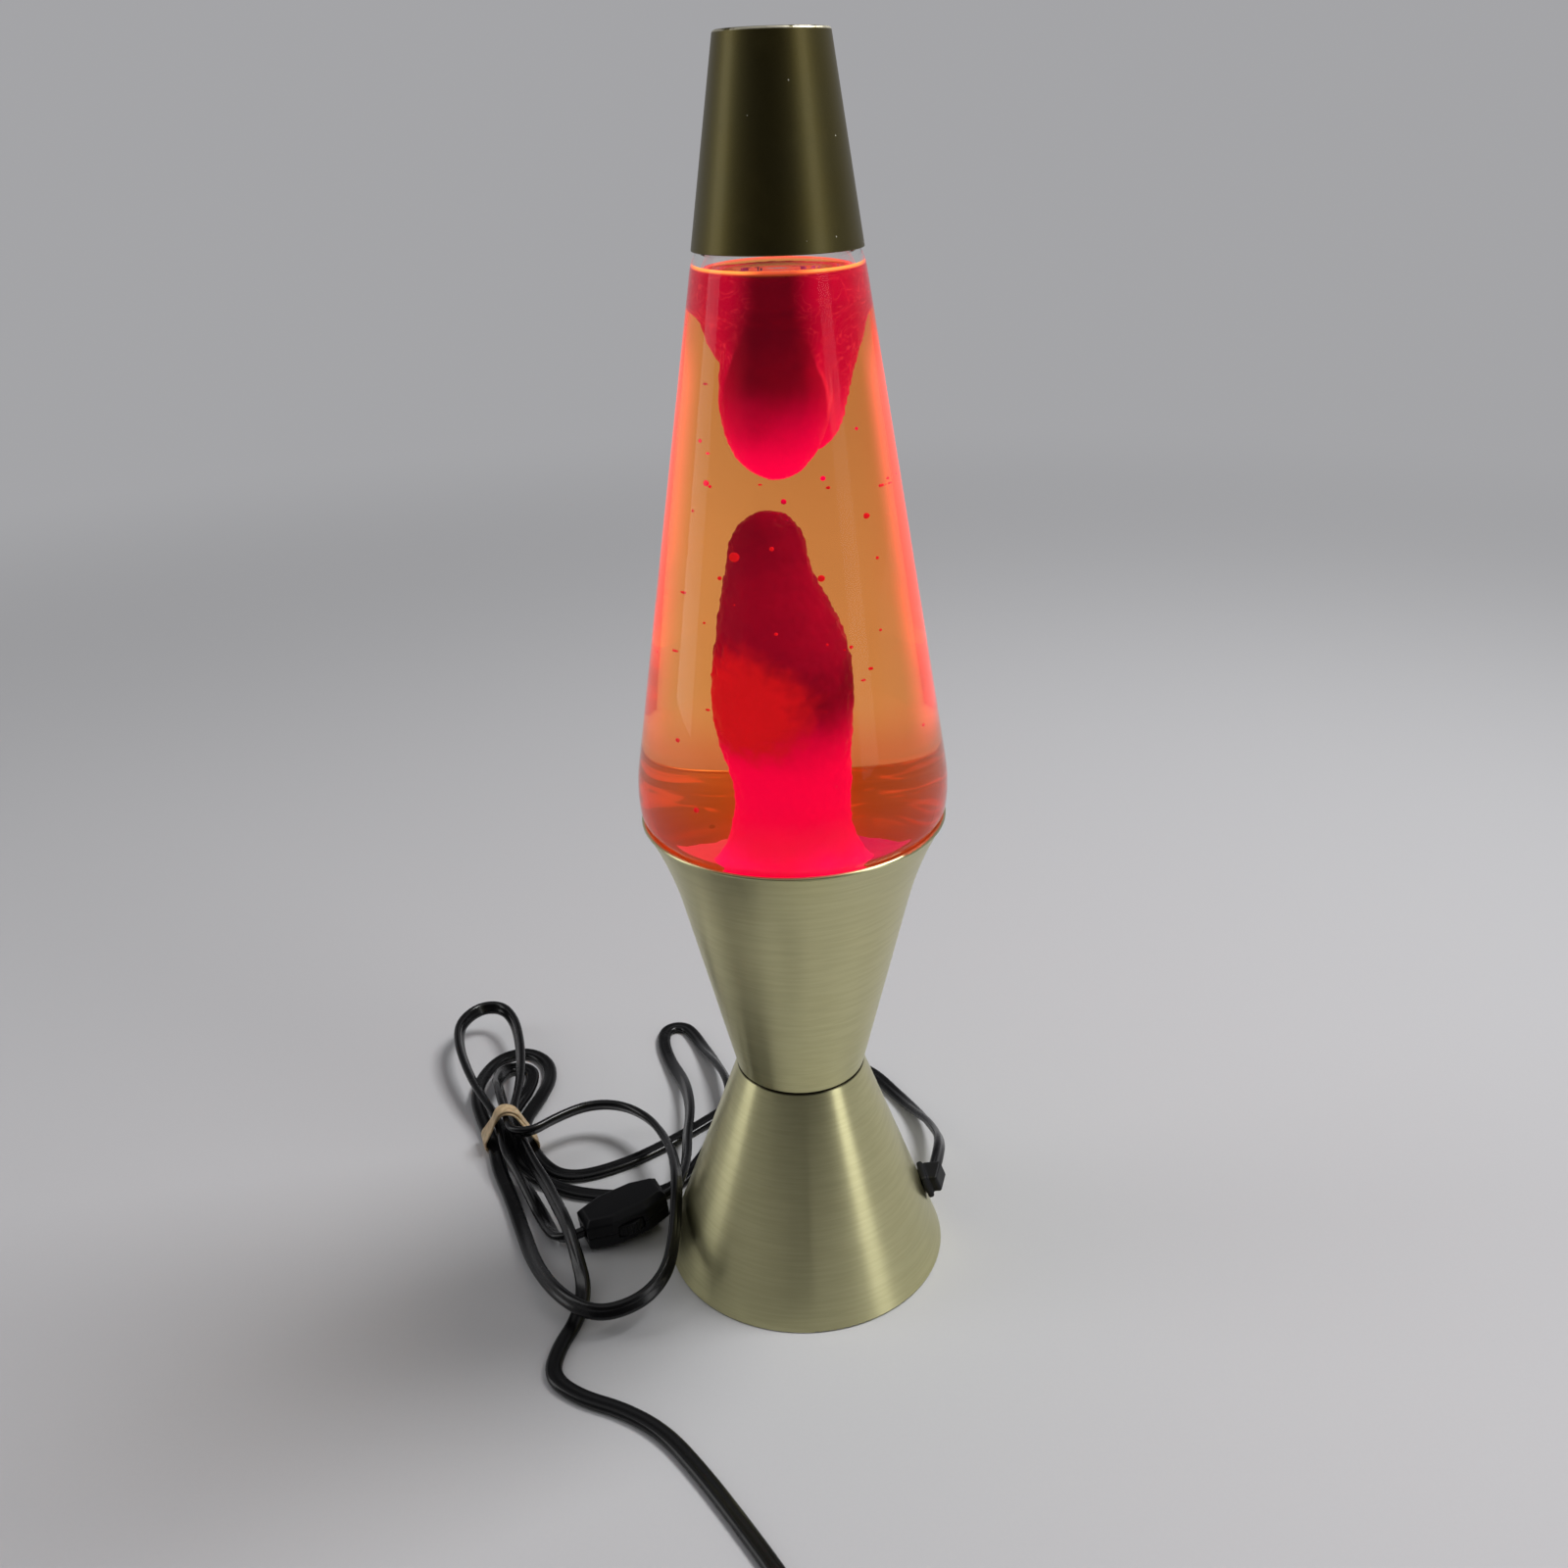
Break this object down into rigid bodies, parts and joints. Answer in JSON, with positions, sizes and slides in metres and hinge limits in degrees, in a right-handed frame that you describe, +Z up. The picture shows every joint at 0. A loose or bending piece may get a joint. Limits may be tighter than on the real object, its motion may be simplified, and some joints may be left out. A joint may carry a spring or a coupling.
{
  "type": "liquid motion lamp",
  "caption": "Table lamp: a sealed tapered bottle of amber liquid and moving wax stands on a waisted metal base over a small bulb, with a loose cap and a cord with a thumb-wheel switch and plug.",
  "frame": {"origin": "centre of the foot, on the table", "axes": "+Z up along the lamp, +Y away from the viewer of the picture, +X to the right; the cord leaves towards +X"},
  "size_m": [0.1931, 0.3841, 0.3683],
  "materials": {
    "base_metal": "brushed, lacquered in a pale gold tone",
    "cap_paint": "satin metallic, olive gold",
    "bottle_glass": "clear, polished",
    "liquid_amber": "clear amber liquid",
    "wax_red": "crimson wax, molten",
    "coil_steel": "bright wire",
    "crown_steel": "tinned sheet",
    "liner_plastic": "soft seal",
    "cover_board": "black, fine grain",
    "holder_plastic": "black phenolic",
    "brass": "bright, drawn",
    "screw_steel": "zinc plated",
    "lead_insulation": "soft insulation",
    "bulb_glass": "clear",
    "bulb_inside": "clear stem glass",
    "bulb_cement": "black vitrite",
    "tungsten": "drawn wire",
    "bushing_plastic": "moulded",
    "cord_black": "glossy soft jacket",
    "switch_plastic": "moulded",
    "band_rubber": "beige, natural rubber",
    "plug_plastic": "moulded"
  },
  "bodies": {
    "base": {"lower_cone": "base_metal", "upper_cone": "base_metal", "bottom_cover": "cover_board", "holder_sleeve": "holder_plastic", "holder_base": "holder_plastic", "holder_upper_nut": "holder_plastic", "holder_lower_nut": "holder_plastic", "holder_screw_shell": "brass", "holder_centre_contact": "brass", "terminal_screws": "screw_steel", "lead_wire_live": "lead_insulation", "lead_wire_neutral": "lead_insulation", "cord_bushing": "bushing_plastic", "switch_upper_shell": "switch_plastic", "switch_lower_shell": "switch_plastic", "switch_contact_in": "brass", "switch_contact_out": "brass", "switch_through_wire": "lead_insulation", "switch_screw": "screw_steel", "cord_lamp_to_switch": "cord_black", "cord_switch_to_coil": "cord_black", "cord_spare_coil": "cord_black", "rubber_band": "band_rubber", "plug_body": "plug_plastic", "plug_blade_live": "brass", "plug_blade_neutral": "brass"},
    "bottle": {"bottle_glass": "bottle_glass", "liquid": "liquid_amber", "wax_lower": "wax_red", "wax_upper": "wax_red", "heating_coil": "coil_steel", "crown_liner": "liner_plastic", "crown_cap": "crown_steel"},
    "cap": {"top_cap": "cap_paint"},
    "bulb_contact": {"bulb_contact_tip": "brass"},
    "bulb": {"bulb_glass": "bulb_glass", "bulb_screw_base": "brass", "bulb_insulator": "bulb_cement", "bulb_stem": "bulb_inside", "bulb_supports": "tungsten", "bulb_filament": "tungsten"},
    "wheel": {"switch_wheel": "switch_plastic", "switch_wheel_bridge": "brass"}
  },
  "joints": [
    {"name": "cap_lift", "type": "slide", "parent": "bottle", "child": "cap", "axis": [0, 0, 1], "range_m": [0, 0.06]},
    {"name": "bottle_lift", "type": "slide", "parent": "base", "child": "bottle", "axis": [0, 0, 1], "range_m": [0, 0.06]},
    {"name": "bulb_rise", "type": "slide", "parent": "base", "child": "bulb_contact", "axis": [0, 0, 1], "range_m": [0, 0.0099]},
    {"name": "bulb_turn", "type": "hinge", "parent": "bulb_contact", "child": "bulb", "pos_m": [0, 0, 0.0574], "axis": [0, 0, 1], "range_deg": [0, 1260]},
    {"name": "switch_wheel_turn", "type": "hinge", "parent": "base", "child": "wheel", "pos_m": [-0.0613, 0.00022, 0.0083], "axis": [-0.087, -0.0441, 0.9952], "continuous": true}
  ],
  "couplings": [
    {"joint": "bulb_rise", "follows": "bulb_turn", "m_per_rad": 0.00044914}
  ]
}
